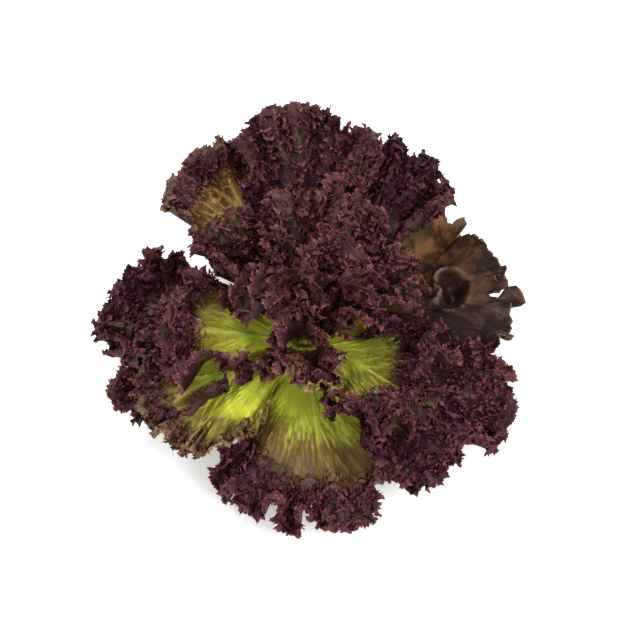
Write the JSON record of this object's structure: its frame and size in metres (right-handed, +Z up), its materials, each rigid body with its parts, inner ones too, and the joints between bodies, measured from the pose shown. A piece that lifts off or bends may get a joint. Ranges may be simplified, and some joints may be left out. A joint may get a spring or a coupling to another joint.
{
  "type": "lollo rosso lettuce",
  "caption": "Loose head of red curly lettuce: thin fan-shaped leaves with frilled dark red edges round a short cut stem, which it stands on.",
  "frame": {"origin": "middle of the stem's cut face, which the head stands on", "axes": "+Z up along the stem, -Y towards the front of the head, +X to its right seen from the front"},
  "size_m": [0.2537, 0.243, 0.1169],
  "materials": {
    "stem_flesh": "satin",
    "red_leaf": "satin",
    "brown_leaf": "satin"
  },
  "bodies": {
    "root": {"stem": "stem_flesh", "outer_leaf_front": "red_leaf", "outer_leaf_right": "brown_leaf", "outer_leaf_back": "red_leaf", "outer_leaf_left": "red_leaf", "second_leaf_front_left": "red_leaf", "second_leaf_front_right": "red_leaf", "second_leaf_back_right": "red_leaf", "second_leaf_back_left": "red_leaf", "third_leaf_back": "red_leaf", "third_leaf_left": "red_leaf", "third_leaf_front_right": "red_leaf", "fourth_leaf_front": "red_leaf", "fourth_leaf_right": "red_leaf", "fourth_leaf_back_right": "red_leaf", "fourth_leaf_back_left": "red_leaf", "fifth_leaf_front": "red_leaf", "fifth_leaf_right": "red_leaf", "fifth_leaf_back": "red_leaf", "fifth_leaf_left": "red_leaf", "heart_leaf_front": "red_leaf", "heart_leaf_back_left": "red_leaf", "heart_leaf_back_right": "red_leaf", "inner_leaf_left": "red_leaf", "inner_leaf_right": "red_leaf", "inner_leaf_back": "red_leaf"}
  },
  "joints": []
}
